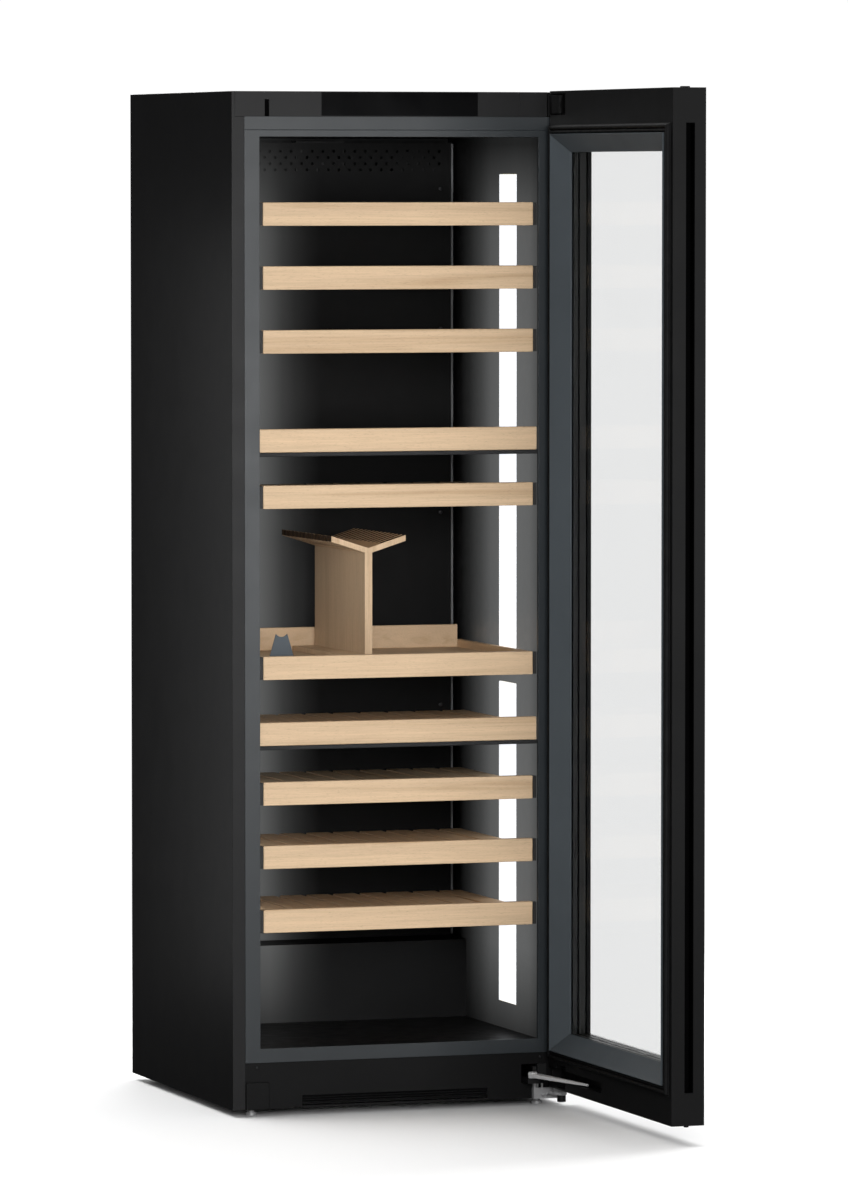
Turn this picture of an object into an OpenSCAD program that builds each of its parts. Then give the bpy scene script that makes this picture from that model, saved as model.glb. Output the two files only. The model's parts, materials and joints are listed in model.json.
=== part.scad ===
// Tall free-standing wine cabinet with a full-height glass door, ten beech
// shelves and two insulated dividers. Millimetres, +Z up, front towards -Y.
// The cabinet is drawn about its own centre line with its front plane at Y = 0,
// then moved so that the origin is the middle of the footprint, door open.

/* [Cabinet] */
// Width over the side panels
cab_w = 704; // [698:1:712]
// Height of the top panel above the floor
cab_h = 2044; // [2040:1:2060]
// Depth from the front plane to the back edges of the side panels
cab_d = 696; // [692:1:720]
// Gap between the floor and the underside of the shell
floor_gap = 14; // [13:1:15]
// Width of the dark strip that each side panel shows at the front
strip_w = 26.5; // [24:0.5:28]
// Width of the grey frame beside the opening
frame_w = 31.5; // [29:0.5:32]
// Bottom of the grey frame
plinth_top = 108; // [106:1:110]
// Bottom of the storage space
open_z0 = 136; // [134:1:140]
// Top of the storage space
open_z1 = 1954; // [1950:1:1956]
// Bottom of the black fascia
fascia_z0 = 1994; // [1990:1:1996]
// Depth of the inside, to the face of the air duct
inside_d = 510; // [505:1:512]

/* [Machine step] */
// Distance from the front plane to the step over the compressor
step_y = 438; // [430:1:440]
// Height of the step's top
step_z = 297; // [290:1:300]

/* [Shelves] */
// Height of a front board
board_h = 46.6; // [45:0.1:48]
// Thickness of a front board
board_t = 18; // [16:1:20]
// How far the front boards sit behind the front plane
board_y = 6; // [5:1:8]
// Gap between a sliding shelf and the side wall
shelf_gap = 9; // [8.5:0.5:9.5]
// How far the slats lie below the top of the front board
slat_drop = 15; // [12:1:16]
// Thickness of the slats
slat_t = 12; // [11:1:13]
// Depth of a shelf from the front of its board
shelf_d = 440; // [420:5:450]
// Number of slats
slat_count = 10; // [8:1:12]
// Gap between slats
slat_space = 10; // [8:1:14]

/* [Door] */
// Width of the door
door_w = 698; // [690:1:700]
// Thickness of the door frame
door_t = 68; // [66:1:70]
// Gap between the closed door frame and the cabinet
door_gap = 12; // [12:0.5:13]
// Height of the door's bottom edge
door_z0 = 38; // [38:1:39]
// Height of the door's top edge
door_z1 = 2046; // [2046:1:2050]
// Distance of the hinge axis from the right side of the cabinet
hinge_inset = 22; // [21:1:23]
// Distance of the hinge axis in front of the cabinet
hinge_fwd = 27; // [26:1:28]
// Inset of the outer edge of the grey bevel from the door's sides
bevel_inset = 30; // [28:1:32]
// Width of the grey bevel
bevel_w = 36; // [34:1:38]
// Opening angle at which the model is drawn
rest_angle = 90; // [0:5:105]

/* [Closer] */
// Length of the soft-close arm between its pivot and its tip
arm_l = 190; // [186:1:194]

/* [Hidden] */
$fn = 48;
eps = 0.01;
sheet = 1.5;
hw = cab_w / 2;
in_hw = hw - strip_w - frame_w;
run_clear = 0.05;

// Heights of the underside of the ten shelves, from the top down
shelf_z = [1777, 1650, 1523, 1326, 1214, 873, 741, 622, 495, 367];
slide_ids = [1, 2, 3, 5, 6, 8, 9, 10];

// Hinge axis and the outer reach of the open door, from the cabinet's centre line
hinge_x = hw - hinge_inset;
hinge_y = -hinge_fwd;
door_hw = door_w / 2;
door_in_y = -door_gap;
door_out_y = -door_gap - door_t;
open_face_x = hinge_x + hinge_y + door_gap + door_t;
open_tip_y = hinge_y - hinge_x - door_hw;

// Shift that puts the origin in the middle of the footprint
cab_x = -(open_face_x - hw) / 2;
cab_y = -(open_tip_y + cab_d) / 2;

// Colours
black_paint = [0.16, 0.16, 0.17];
grey_frame = [0.40, 0.42, 0.45];
liner_grey = [0.33, 0.34, 0.36];
beech = [0.87, 0.76, 0.62];
steel = [0.62, 0.63, 0.65];
dark = [0.07, 0.07, 0.08];
foam = [0.86, 0.80, 0.58];

// ---- Helpers -------------------------------------------------------------

// Moves a piece from the cabinet's own frame to the model's frame
module in_cabinet() {
    translate([cab_x, cab_y, 0]) children();
}

// Moves a piece drawn on the closed door to the drawn opening angle
module on_door() {
    in_cabinet()
        translate([hinge_x, hinge_y, 0]) rotate([0, 0, rest_angle])
            translate([-hinge_x, -hinge_y, 0]) children();
}

// A box between two corners
module block(low, high) {
    translate(low) cube(high - low);
}

// A piece on the right of the centre line and its mirror image on the left
module both_sides() {
    children();
    mirror([1, 0, 0]) children();
}

// An outline in the Y-Z plane, extruded evenly to both sides of the centre line
module side_profile(half, points) {
    translate([-half, 0, 0]) rotate([90, 0, 90]) linear_extrude(2 * half) polygon(points);
}

// A rod along X, Y or Z between two stations
module rod_x(x0, x1, y, z, r) {
    translate([x0, y, z]) rotate([0, 90, 0]) cylinder(h = x1 - x0, r = r);
}

module rod_y(y0, y1, x, z, r) {
    translate([x, y0, z]) rotate([-90, 0, 0]) cylinder(h = y1 - y0, r = r);
}

module rod_z(z0, z1, x, y, r) {
    translate([x, y, z0]) cylinder(h = z1 - z0, r = r);
}

// A flat ring in the X-Z plane: outer and inner half widths and heights, Y range
module ring(out_hw, out_z, in_hw2, in_z, y0, y1) {
    difference() {
        block([-out_hw, y0, out_z[0]], [out_hw, y1, out_z[1]]);
        block([-in_hw2, y0 - 1, in_z[0]], [in_hw2, y1 + 1, in_z[1]]);
    }
}

// ---- Shell ---------------------------------------------------------------

rear_y = 650;
fascia_edge = 7;
rear_flange = 14;

module side_panel() {
    block([hw - sheet, 0, floor_gap], [hw, cab_d, cab_h]);
    block([hw - strip_w, 0, floor_gap], [hw - sheet + eps, sheet, fascia_z0]);
    block([hw - fascia_edge, 0, fascia_z0 - eps], [hw - sheet + eps, sheet, cab_h]);
    block([hw - rear_flange, cab_d - sheet, floor_gap], [hw - sheet + eps, cab_d, cab_h]);
}

module left_side_panel() {
    color(black_paint) in_cabinet() mirror([1, 0, 0]) side_panel();
}

module right_side_panel() {
    color(black_paint) in_cabinet() side_panel();
}

fascia_d = 18;
panel_hw = hw - sheet;

module top_panel() {
    color(black_paint) in_cabinet() {
        block([-panel_hw, fascia_d, cab_h - sheet], [panel_hw, cab_d - sheet, cab_h]);
        block([-panel_hw + rear_flange, cab_d - 2 * sheet, cab_h - 30],
            [panel_hw - rear_flange, cab_d - sheet, cab_h - sheet + eps]);
    }
}

machine_y = 480;
machine_z = 250;
machine_back = 690;
tray_z0 = 20;
tray_z1 = 24;

module rear_panel() {
    color(steel) in_cabinet()
        block([-panel_hw, rear_y, machine_z], [panel_hw, rear_y + sheet, cab_h - 30]);
}

slot_pitch = 40;
inlet_x = 250;
inlet_z = 150;
inlet_w = 48;
inlet_h = 28;

module rear_cover() {
    color(dark) in_cabinet() difference() {
        block([-panel_hw + 20, machine_back, tray_z1], [panel_hw - 20, machine_back + 2, machine_z - 2]);
        for (row = [0, 1], i = [-7 : 3])
            block([i * slot_pitch, machine_back - 1, 70 + row * 90],
                [i * slot_pitch + 12, machine_back + 3, 140 + row * 90]);
        block([inlet_x - inlet_w / 2, machine_back - 1, inlet_z - inlet_h / 2],
            [inlet_x + inlet_w / 2, machine_back + 3, inlet_z + inlet_h / 2]);
    }
}

module mains_inlet() {
    pin_r = 2;
    color(dark) in_cabinet() {
        difference() {
            union() {
                block([inlet_x - inlet_w / 2 + 1, 655, inlet_z - inlet_h / 2 + 1],
                    [inlet_x + inlet_w / 2 - 1, machine_back + 4, inlet_z + inlet_h / 2 - 1]);
                block([inlet_x - inlet_w / 2 - 3, machine_back + 2, inlet_z - inlet_h / 2 - 3],
                    [inlet_x + inlet_w / 2 + 3, machine_back + 4, inlet_z + inlet_h / 2 + 3]);
            }
            block([inlet_x - 14, 672, inlet_z - 9], [inlet_x + 14, machine_back + 5, inlet_z + 9]);
        }
        for (side = [-1, 0, 1])
            rod_y(671, machine_back, inlet_x + side * 8, inlet_z + (side == 0 ? 4 : -3), pin_r);
    }
}

// ---- Base ----------------------------------------------------------------

foot_x = 303;
foot_y = 36;
tray_y = 15;
foot_r = 11;
stud_r = 5;
wheel_r = 15;
wheel_w = 17;
wheel_y = 640;
axle_r = 4;

// Bearing lug of the rear axle
module axle_lug(x) {
    difference() {
        block([x - 3, wheel_y - 10, 8], [x + 3, wheel_y + 10, tray_z0 + eps]);
        rod_x(x - 4, x + 4, wheel_y, wheel_r, axle_r + run_clear);
    }
}

module base_tray() {
    boss_r = 12;
    boss_top = 44;
    color(steel) in_cabinet() {
        difference() {
            union() {
                block([-panel_hw, tray_y, tray_z0], [panel_hw, machine_back, tray_z1]);
                both_sides() block([panel_hw - 3, tray_y, tray_z1 - eps], [panel_hw, machine_back, 60]);
                both_sides() rod_z(tray_z0 - 4, boss_top, foot_x, foot_y, boss_r);
            }
            both_sides() rod_z(0, boss_top + 1, foot_x, foot_y, stud_r + run_clear);
            both_sides() block([foot_x - wheel_w / 2 - 2.5, wheel_y - 20, tray_z0 - 1],
                [foot_x + wheel_w / 2 + 2.5, wheel_y + 20, tray_z1 + 1]);
        }
        both_sides() for (offset = [-15, 15]) axle_lug(foot_x + offset);
    }
}

// Screw foot: a pad, a hexagon to turn it by and a stud in the base
module foot() {
    rod_z(0, 6, 0, 0, foot_r);
    rod_z(6 - eps, 9, 0, 0, foot_r - 3);
    translate([0, 0, 9 - eps]) cylinder(h = 4, r = 8, $fn = 6);
    rod_z(13 - eps, 42, 0, 0, stud_r);
}

module foot_left() {
    color(steel) in_cabinet() translate([-foot_x, foot_y, 0]) foot();
}

module foot_right() {
    color(steel) in_cabinet() translate([foot_x, foot_y, 0]) foot();
}

module rear_wheels() {
    color(dark) in_cabinet() {
        both_sides() difference() {
            rod_x(foot_x - wheel_w / 2, foot_x + wheel_w / 2, wheel_y, wheel_r, wheel_r);
            rod_x(foot_x - wheel_w / 2 - 1, foot_x - wheel_w / 2 + 3, wheel_y, wheel_r, wheel_r - 4);
        }
        rod_x(-foot_x - 22, foot_x + 22, wheel_y, wheel_r, axle_r);
    }
}

plinth_y = 2;
plinth_t = 3;
vent_x = [-205, 187];
vent_z = [19, 39];
recess_x = [260, 290];
recess_z = [46, 84];

module plinth_panel() {
    color(black_paint) in_cabinet() difference() {
        union() {
            block([-hw + strip_w, plinth_y, floor_gap], [hw - strip_w, plinth_y + plinth_t, plinth_top]);
            block([-hw + strip_w, plinth_y, plinth_top - 3], [hw - strip_w, plinth_y + 12, plinth_top]);
        }
        block([vent_x[0], 0, vent_z[0]], [vent_x[1], 20, vent_z[1]]);
        block([vent_x[0] - 17, 0, floor_gap - 1], [vent_x[0], 20, floor_gap + 3]);
        block([recess_x[0], 0, recess_z[0]], [recess_x[1], 20, recess_z[1]]);
    }
}

module vent_grille() {
    louvres = 4;
    grille_y = [plinth_y + plinth_t, plinth_y + plinth_t + 8];
    color(dark) in_cabinet() {
        ring_h = vent_z[1] - vent_z[0];
        difference() {
            block([vent_x[0] - 6, grille_y[0], floor_gap + 1], [vent_x[1] + 6, grille_y[1], vent_z[1] + 4]);
            block([vent_x[0], grille_y[0] - 1, vent_z[0]], [vent_x[1], grille_y[1] + 1, vent_z[1]]);
        }
        for (i = [1 : louvres - 1])
            translate([vent_x[0] - 1, grille_y[0] + 1, vent_z[0] + i * ring_h / louvres]) rotate([30, 0, 0])
                cube([vent_x[1] - vent_x[0] + 2, 6, 1.2]);
    }
}

module corner_cover() {
    color(black_paint) in_cabinet() {
        block([-hw + strip_w + 0.5, -3, floor_gap], [-276, plinth_y, 69]);
    }
}

// ---- Front frame and fascia ----------------------------------------------

frame_t = 6;
groove_z = 1967;

module front_frame() {
    color(grey_frame) in_cabinet() difference() {
        ring(hw - strip_w, [plinth_top, fascia_z0], in_hw, [open_z0, open_z1], 0, frame_t);
        block([-hw, -1, groove_z], [hw, 0.8, groove_z + 1]);
    }
}

fascia_x = [-(hw - fascia_edge), 312];
cap_x = 254.5;
display_hw = 164.5;
display_t = 1.5;

module top_fascia() {
    color(black_paint) in_cabinet() difference() {
        block([fascia_x[0], 0, fascia_z0], [fascia_x[1], fascia_d, cab_h]);
        block([fascia_x[0] + 3, 3, fascia_z0 + 3], [fascia_x[1] - 3, fascia_d + 1, cab_h - 3]);
        block([cap_x - 0.3, -1, fascia_z0 - 1], [cap_x + 0.3, 1, cab_h + 1]);
        block([-283, -1, fascia_z0 - 1], [-274, 2, cab_h - 16]);
    }
}

module display_glass() {
    color(dark) in_cabinet()
        block([-display_hw, -display_t, fascia_z0 + 1.5], [display_hw, 0, cab_h - 1.5]);
}

module control_board() {
    color([0.05, 0.35, 0.2]) in_cabinet() {
        block([-150, 9, fascia_z0 + 6], [150, 11, cab_h - 6]);
        for (i = [-3 : 3]) block([i * 40 - 8, 6, cab_h - 34], [i * 40 + 8, 9 + eps, cab_h - 20]);
        both_sides() rod_y(3, 9 + eps, 142, cab_h - 25, 3);
        block([-20, 11 - eps, cab_h - 36], [20, 16, cab_h - 14]);
    }
}

// ---- Insulated body ------------------------------------------------------

liner_t = 3;
duct_d = 46;
liner_back = inside_d + duct_d;
led_y = [132, 237];
led_z = [190, 1880];
led_break = [846, 876];
led_spans = [[led_z[0], led_break[0]], [led_break[1], led_z[1]]];
led_t = 6;

module led_pocket(grow) {
    both_sides() for (z = led_spans)
        block([in_hw - 1, led_y[0] - grow, z[0] - grow],
            [in_hw + led_t + grow, led_y[1] + grow, z[1] + grow]);
}

module insulation_foam() {
    color(foam) in_cabinet() difference() {
        side_profile(panel_hw, [[8, 112], [machine_y, 112], [machine_y, machine_z],
            [rear_y, machine_z], [rear_y, cab_h - sheet],
            [fascia_d, cab_h - sheet], [fascia_d, fascia_z0], [8, fascia_z0]]);
        side_profile(in_hw + liner_t, [[0, open_z0 - liner_t], [step_y + liner_t, open_z0 - liner_t],
            [step_y + liner_t, step_z - liner_t], [liner_back + liner_t, step_z - liner_t],
            [liner_back + liner_t, open_z1 + liner_t], [0, open_z1 + liner_t]]);
        led_pocket(0.5);
    }
}

module inner_liner() {
    color(liner_grey) in_cabinet() difference() {
        side_profile(in_hw + liner_t, [[frame_t, open_z0 - liner_t],
            [step_y + liner_t, open_z0 - liner_t], [step_y + liner_t, step_z - liner_t],
            [liner_back + liner_t, step_z - liner_t], [liner_back + liner_t, open_z1 + liner_t],
            [frame_t, open_z1 + liner_t]]);
        side_profile(in_hw, [[0, open_z0], [step_y, open_z0], [step_y, step_z],
            [liner_back, step_z], [liner_back, open_z1], [0, open_z1]]);
        led_pocket(0);
    }
}

module led_strips() {
    color([1, 1, 1]) in_cabinet() both_sides() for (z = led_spans)
        block([in_hw, led_y[0] + 0.5, z[0] + 0.5],
            [in_hw + led_t - 0.5, led_y[1] - 0.5, z[1] - 0.5]);
}

// ---- Air duct and cooling ------------------------------------------------

duct_hw = 287;
duct_z = [300, 1945];
duct_t = 2;
fan_x = 0;
fan_z = [1895, 380];
fan_y = inside_d + 2;
fan_side = 104;
fan_t = 24;
fan_bore_r = 48;

module duct_cover() {
    hole_r = 3;
    pitch_x = 23;
    pitch_z = 12.7;
    rows = 4;
    columns = 23;
    color(dark) in_cabinet() difference() {
        union() {
            block([-duct_hw, inside_d, duct_z[0]], [duct_hw, inside_d + duct_t, duct_z[1]]);
            both_sides() block([duct_hw - duct_t, inside_d, duct_z[0]],
                [duct_hw, liner_back - 1, duct_z[1]]);
        }
        for (row = [0 : rows - 1], i = [0 : columns - 1])
            rod_y(inside_d - 1, inside_d + duct_t + 1,
                (i - (columns - 1) / 2 + (row % 2 == 0 ? 0.25 : -0.25)) * pitch_x,
                duct_z[1] - 18 - row * pitch_z, hole_r);
        for (i = [-5 : 5])
            block([i * 45 - 16, inside_d - 1, duct_z[0] + 14],
                [i * 45 + 16, inside_d + duct_t + 1, duct_z[0] + 24]);
    }
}

module charcoal_filter() {
    color(dark) in_cabinet() rod_y(inside_d + 6, inside_d + 40, 210, 1885, 45);
}

module evaporator() {
    fins = 24;
    half = 170;
    fin_t = 1;
    coil_y = [liner_back - 32, liner_back];
    color(steel) in_cabinet() {
        for (i = [0 : fins])
            block([-half + i * 2 * half / fins, coil_y[0], 700],
                [-half + i * 2 * half / fins + fin_t, coil_y[1], 1150]);
        for (z = [725 : 50 : 1125]) rod_x(-half - 12, half + 12, (coil_y[0] + coil_y[1]) / 2, z, 5);
    }
}

module fan_frame(z) {
    shaft_r = 3;
    difference() {
        block([-fan_side / 2, fan_y, z - fan_side / 2], [fan_side / 2, fan_y + fan_t, z + fan_side / 2]);
        rod_y(fan_y - 1, fan_y + fan_t + 1, 0, z, fan_bore_r);
    }
    block([-fan_bore_r - 1, fan_y + fan_t - 5, z - 3], [fan_bore_r + 1, fan_y + fan_t - 2, z + 3]);
    rod_y(fan_y + fan_t - 8, fan_y + fan_t - 1, 0, z, 16);
    rod_y(fan_y + 4, fan_y + fan_t - 7, 0, z, shaft_r);
}

module fan_housings() {
    color(dark) in_cabinet() translate([fan_x, 0, 0]) for (z = fan_z) fan_frame(z);
}

module fan_rotor(z) {
    blades = 7;
    hub_r = 15;
    in_cabinet() translate([fan_x, 0, 0]) {
        difference() {
            rod_y(fan_y + 2, fan_y + 14, 0, z, hub_r);
            rod_y(fan_y + 3.5, fan_y + 15, 0, z, 3 + run_clear);
        }
        for (i = [0 : blades - 1])
            translate([0, fan_y + 8, z]) rotate([0, i * 360 / blades, 0]) rotate([35, 0, 0])
                block([hub_r - 2, -0.8, -9], [44, 0.8, 9]);
    }
}

module fan_rotor_upper() {
    color(dark) fan_rotor(fan_z[0]);
}

module fan_rotor_lower() {
    color(dark) fan_rotor(fan_z[1]);
}

comp_x = -140;
comp_y = 585;

module compressor() {
    shell_r = 78;
    shell_h = 165;
    dome = 34;
    color(dark) in_cabinet() {
        translate([comp_x, comp_y, 46]) rotate_extrude($fn = 72)
            polygon(concat([[0, 0], [shell_r - 12, 0], [shell_r, 12]],
                [for (a = [0 : 15 : 90]) [(shell_r - dome) + dome * cos(a), shell_h - dome + dome * sin(a)]],
                [[0, shell_h]]));
        block([comp_x - 105, comp_y - 70, 38], [comp_x + 105, comp_y + 70, 46 + eps]);
        for (sx = [-1, 1], sy = [-1, 1])
            rod_z(tray_z1, 38 + eps, comp_x + sx * 88, comp_y + sy * 54, 13);
        rod_z(70, 190, comp_x + shell_r + 10, comp_y, 5);
        rod_x(comp_x + shell_r - 6, comp_x + shell_r + 12, comp_y, 75, 5);
    }
}

module condenser() {
    tube_r = 3;
    bend_r = 3.6;
    pitch = 90;
    rows = 18;
    half = 270;
    lap = 6;
    y = 668;
    z0 = 320;
    color(dark) in_cabinet() {
        for (i = [0 : rows - 1]) rod_x(-half - lap, half + lap, y, z0 + i * pitch, tube_r);
        for (i = [0 : rows - 2])
            translate([(i % 2 == 0 ? half + 1 : -half - 1), y, z0 + (i + 0.5) * pitch])
                rotate([90, 0, i % 2 == 0 ? 0 : 180]) rotate([0, 0, -90])
                    rotate_extrude(angle = 180) translate([pitch / 2, 0]) circle(r = bend_r, $fn = 24);
        for (i = [-4 : 4])
            block([i * 60 - 4, y + tube_r - 1, z0 - 12],
                [i * 60 + 4, y + tube_r + 1, z0 + (rows - 1) * pitch + 12]);
        for (sx = [-1, 1], z = [z0 + 40, z0 + (rows - 1) * pitch - 40])
            block([sx * 240 - 6, rear_y + sheet, z - 8], [sx * 240 + 6, y + tube_r, z + 8]);
    }
}

// ---- Dividers, rails and shelves -----------------------------------------

shelf_hw = in_hw - shelf_gap;
divider_t = 8;

module dividers() {
    color(liner_grey) in_cabinet() for (id = [4, 7])
        block([-in_hw, 4, shelf_z[id - 1] - divider_t], [in_hw, inside_d - 2, shelf_z[id - 1]]);
}

rail_z = 7;
rail_h = 19;
rail_web = 1.5;
rail_y = [24, 470];
runner_w = 6.5;
runner_clear = 0.5;

module rail(z) {
    difference() {
        block([in_hw - 7.5, rail_y[0], z + rail_z], [in_hw, rail_y[1], z + rail_z + rail_h]);
        block([in_hw - 8.5, rail_y[0] - 1, z + rail_z + rail_web],
            [in_hw - rail_web, rail_y[1] + 1, z + rail_z + rail_h - rail_web]);
    }
}

module fixed_rails() {
    color(steel) in_cabinet() both_sides() for (id = slide_ids) rail(shelf_z[id - 1]);
}

// Inner rail members and the dark end pieces beside the front board
module runners(id) {
    z = shelf_z[id - 1];
    low = z + rail_z + rail_web + runner_clear;
    high = z + rail_z + rail_h - rail_web - runner_clear;
    color(dark) in_cabinet() both_sides() {
        block([shelf_hw, board_y + 2, low], [shelf_hw + runner_w, rail_y[1] - 20, high]);
        block([shelf_hw, board_y + 1, z + 1], [in_hw - 0.8, board_y + board_t - 2, z + board_h - 1]);
    }
}

// Slats that run front to back on three cross bars
module deck(half, z, back) {
    pitch = (2 * half + slat_space) / slat_count;
    slat_w = pitch - slat_space;
    top = z + board_h - slat_drop;
    for (i = [0 : slat_count - 1])
        block([-half + i * pitch, board_y + board_t - eps, top - slat_t],
            [-half + i * pitch + slat_w, back, top]);
    for (y = [board_y + board_t - eps, (board_y + back) / 2, back - 30])
        block([-half, y, top - slat_t - 11], [half, y + 30, top - slat_t + eps]);
}

module wooden_shelf(half, id) {
    z = shelf_z[id - 1];
    color(beech) in_cabinet() {
        block([-half, board_y, z], [half, board_y + board_t, z + board_h]);
        deck(half, z, board_y + shelf_d);
    }
}

// Presentation shelf: a closed tray with low side and back boards
module tray_shelf(half, id) {
    z = shelf_z[id - 1];
    side_t = 12;
    side_h = 58;
    back = board_y + shelf_d;
    color(beech) in_cabinet() {
        block([-half, board_y, z], [half, board_y + board_t, z + board_h]);
        block([-half, board_y + board_t - eps, z + board_h - slat_drop - slat_t],
            [half, back, z + board_h - slat_drop]);
        both_sides() block([half - side_t, board_y + board_t - eps, z + board_h - slat_drop - slat_t],
            [half, back, z + board_h]);
        block([-half, back - side_t, z + board_h - slat_drop - slat_t], [half, back, z + side_h + 20]);
    }
}

// Fixed boards on the dividers
wide_hw = in_hw - 1;

// ---- Presentation accessories --------------------------------------------

rack_x = -34;
rack_y = [96, 420];
rack_t = 16;
rack_z = 1129;
wing_w = 79;
wing_rise = 25;
wing_t = 12;
stem_slots = 13;
slot_w = 15;
slot_root = 28;
tray_top = shelf_z[5] + board_h - slat_drop;

// Wooden stand shaped like a Y, its wings cut as combs for the stems of glasses
module glass_rack() {
    half_t = rack_t / 2;
    pitch = (rack_y[1] - rack_y[0]) / stem_slots;
    under = rack_z - wing_t;
    root = under + half_t * wing_rise / wing_w;
    tip = rack_z + wing_rise;
    foot_hw = 55;
    foot_h = tray_top + 10;
    color(beech) in_cabinet() translate([rack_x, 0, 0]) difference() {
        translate([0, rack_y[1], 0]) rotate([90, 0, 0]) linear_extrude(rack_y[1] - rack_y[0])
            polygon([[-foot_hw, tray_top], [foot_hw, tray_top], [foot_hw, foot_h], [half_t, foot_h],
                [half_t, root], [wing_w, tip - wing_t], [wing_w, tip], [0, rack_z],
                [-wing_w, tip], [-wing_w, tip - wing_t], [-half_t, root], [-half_t, foot_h],
                [-foot_hw, foot_h]]);
        both_sides() for (i = [0 : stem_slots - 1])
            block([slot_root, rack_y[0] + (i + 0.5) * pitch - slot_w / 2, under - 1],
                [wing_w + 1, rack_y[0] + (i + 0.5) * pitch + slot_w / 2, tip + 1]);
    }
}

cradle_x = -236;
cradle_y = [40, 330];

// Strip with two tapered uprights, notched for the neck and the body of one bottle
module bottle_cradle() {
    foot_hw = 29;
    top_hw = 12;
    rise = 58;
    color(steel) in_cabinet() translate([cradle_x, 0, tray_top]) {
        block([-20, cradle_y[0] - 4, 0], [20, cradle_y[1], 2]);
        for (y = [cradle_y[0], cradle_y[1] - 30]) difference() {
            translate([0, y + 2, 0]) rotate([90, 0, 0]) linear_extrude(2)
                polygon([[-foot_hw, 0], [foot_hw, 0], [top_hw, rise], [-top_hw, rise]]);
            rod_y(y - 1, y + 3, 0, rise + 8, 14);
        }
    }
}

// ---- Hinges and closer ---------------------------------------------------

pin_r = 5;
low_pin_r = 6;
arm_hw = 13;
knuckle_r = 16;
pocket_reach = 20;
notch_z = [1998, 2041];
upper_arm_z = [2001, 2038];
lower_arm_z = [24, 30];
bracket_x = 282;

// Flat arm of a hinge from the front plane to a round end on the hinge axis
module hinge_arm(z, r) {
    rod_z(z[0], z[1], hinge_x, hinge_y, r);
    block([hinge_x - arm_hw, hinge_y, z[0]], [hinge_x + arm_hw, 0, z[1]]);
}

module upper_hinge() {
    color(dark) in_cabinet() {
        hinge_arm(upper_arm_z, knuckle_r);
        block([fascia_x[1] + 1, -2, fascia_z0 + 2], [hw - fascia_edge - 1, 4, cab_h - 1]);
        block([fascia_x[1] + 1, 4 - eps, fascia_z0 + 6], [hw - fascia_edge - 1, fascia_d, cab_h - 6]);
        rod_z(notch_z[0] - 14, upper_arm_z[0] + eps, hinge_x, hinge_y, pin_r);
    }
}

module lower_hinge() {
    color(steel) in_cabinet() {
        hinge_arm(lower_arm_z, knuckle_r);
        block([bracket_x, -5, floor_gap], [hw - 2, 0, 36]);
        block([bracket_x, -eps, floor_gap], [hw - strip_w, plinth_y, 36]);
        block([bracket_x, -10.5, floor_gap], [bracket_x + 4, 0, 46]);
        for (x = [bracket_x + 10, bracket_x + 20]) rod_z(35, 45, x, -2.5, 2.2);
        rod_z(lower_arm_z[1] - eps, 56, hinge_x, hinge_y, low_pin_r);
        rod_z(lower_arm_z[1] - eps, door_z0 - 0.3, hinge_x, hinge_y, 11);
        rod_z(8, lower_arm_z[0] + eps, hinge_x + 7, hinge_y + 5, 8.5);
    }
}

closer_x = 276;
closer_y = -20;
closer_pin_r = 4;
closer_z = 58;
arm_z = [60, 68];
// Direction of the arm in the drawn pose, seen from above
arm_angle = -74.7;

module closer_housing() {
    color(dark) in_cabinet() {
        block([recess_x[0] + 2, -31, recess_z[0] + 2], [recess_x[1] - 2, 14, closer_z]);
        rod_z(closer_z - eps, arm_z[1] + 2, closer_x, closer_y, closer_pin_r);
        block([recess_x[1], -9, arm_z[0]], [309, plinth_y, 86]);
        block([recess_x[1] - 8, -3, arm_z[0] - 10], [recess_x[1] - 2, 14, 80]);
        block([recess_x[1] - 4, -3, arm_z[0] + 4], [recess_x[1] + 6, plinth_y, 80]);
    }
}

module closer_arm() {
    root_r = 9;
    tip_r = 3;
    taper = 1.1;
    thick = arm_z[1] - arm_z[0];
    color(steel) in_cabinet() translate([closer_x, closer_y, arm_z[0]]) rotate([0, 0, arm_angle])
        difference() {
            union() {
                cylinder(h = thick, r = root_r);
                translate([arm_l, 0, 0]) cylinder(h = thick, r = tip_r);
                linear_extrude(thick) polygon([[0, root_r - 0.1], [arm_l, tip_r - 0.1],
                    [arm_l, 0.1 - tip_r], [0, 0.1 - root_r]]);
            }
            translate([0, 0, -1]) cylinder(h = thick + 2, r = closer_pin_r + run_clear);
            translate([20, -20, thick]) rotate([0, taper, 0]) cube([arm_l, 40, 10]);
        }
}

// ---- Door, drawn closed --------------------------------------------------

bevel_z = [115, 1960];
bevel_depth = 32;
bezel_top_y = -1;
glass_inset = 50;
glass_y = -36;
front_lip = 8;
view_hw = door_hw - bevel_inset - bevel_w;
view_z = [bevel_z[0] + bevel_w, bevel_z[1] - bevel_w];
pane_hw = door_hw - glass_inset;
pane_z = [view_z[0] - 16, view_z[1] + 16];
pane_t = 4;
pane_y = [glass_y - pane_t, -54, door_out_y + front_lip];
grip_y = [-57, -39];
grip_depth = 22;
grip_z = [102, 1978];
grip_t = 1.5;
slot_z = [58, 80];
slot_reach = 28;

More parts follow.
